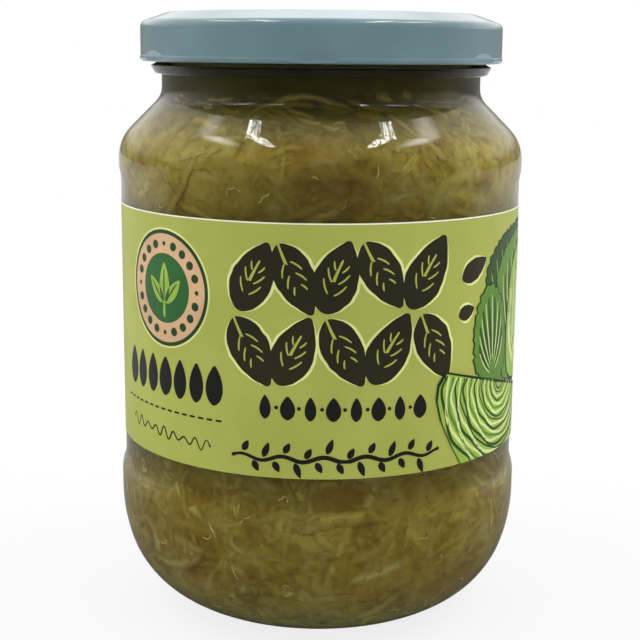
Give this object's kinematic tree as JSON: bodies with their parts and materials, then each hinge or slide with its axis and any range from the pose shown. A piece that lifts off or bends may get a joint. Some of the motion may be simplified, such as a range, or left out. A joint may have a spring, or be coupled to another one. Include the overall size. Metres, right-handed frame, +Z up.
{
  "type": "jar of sauerkraut",
  "caption": "Closed glass food jar with a pressed steel twist-off lid and a paper wrap label, filled with packed shredded cabbage in brine.",
  "frame": {"origin": "centre of the bearing ring that the jar stands on", "axes": "+Z up along the jar's axis, -Y towards the front of the label, +X to the right of the label"},
  "size_m": [0.0962, 0.0962, 0.1408],
  "materials": {
    "flint_glass": "clear container glass with a faint green tint, fire-polished",
    "lacquered_tinplate": "pale blue-grey gloss lacquer on pressed tinplate",
    "label_paper": "coated yellow-green label paper, semi-gloss",
    "fermented_cabbage": "wet olive-straw shreds of pickled cabbage, packed tight",
    "brine": "clear olive-brown brine"
  },
  "bodies": {
    "root": {"jar": "flint_glass", "lid": "lacquered_tinplate", "label": "label_paper", "sauerkraut": "fermented_cabbage", "brine": "brine"}
  },
  "joints": []
}
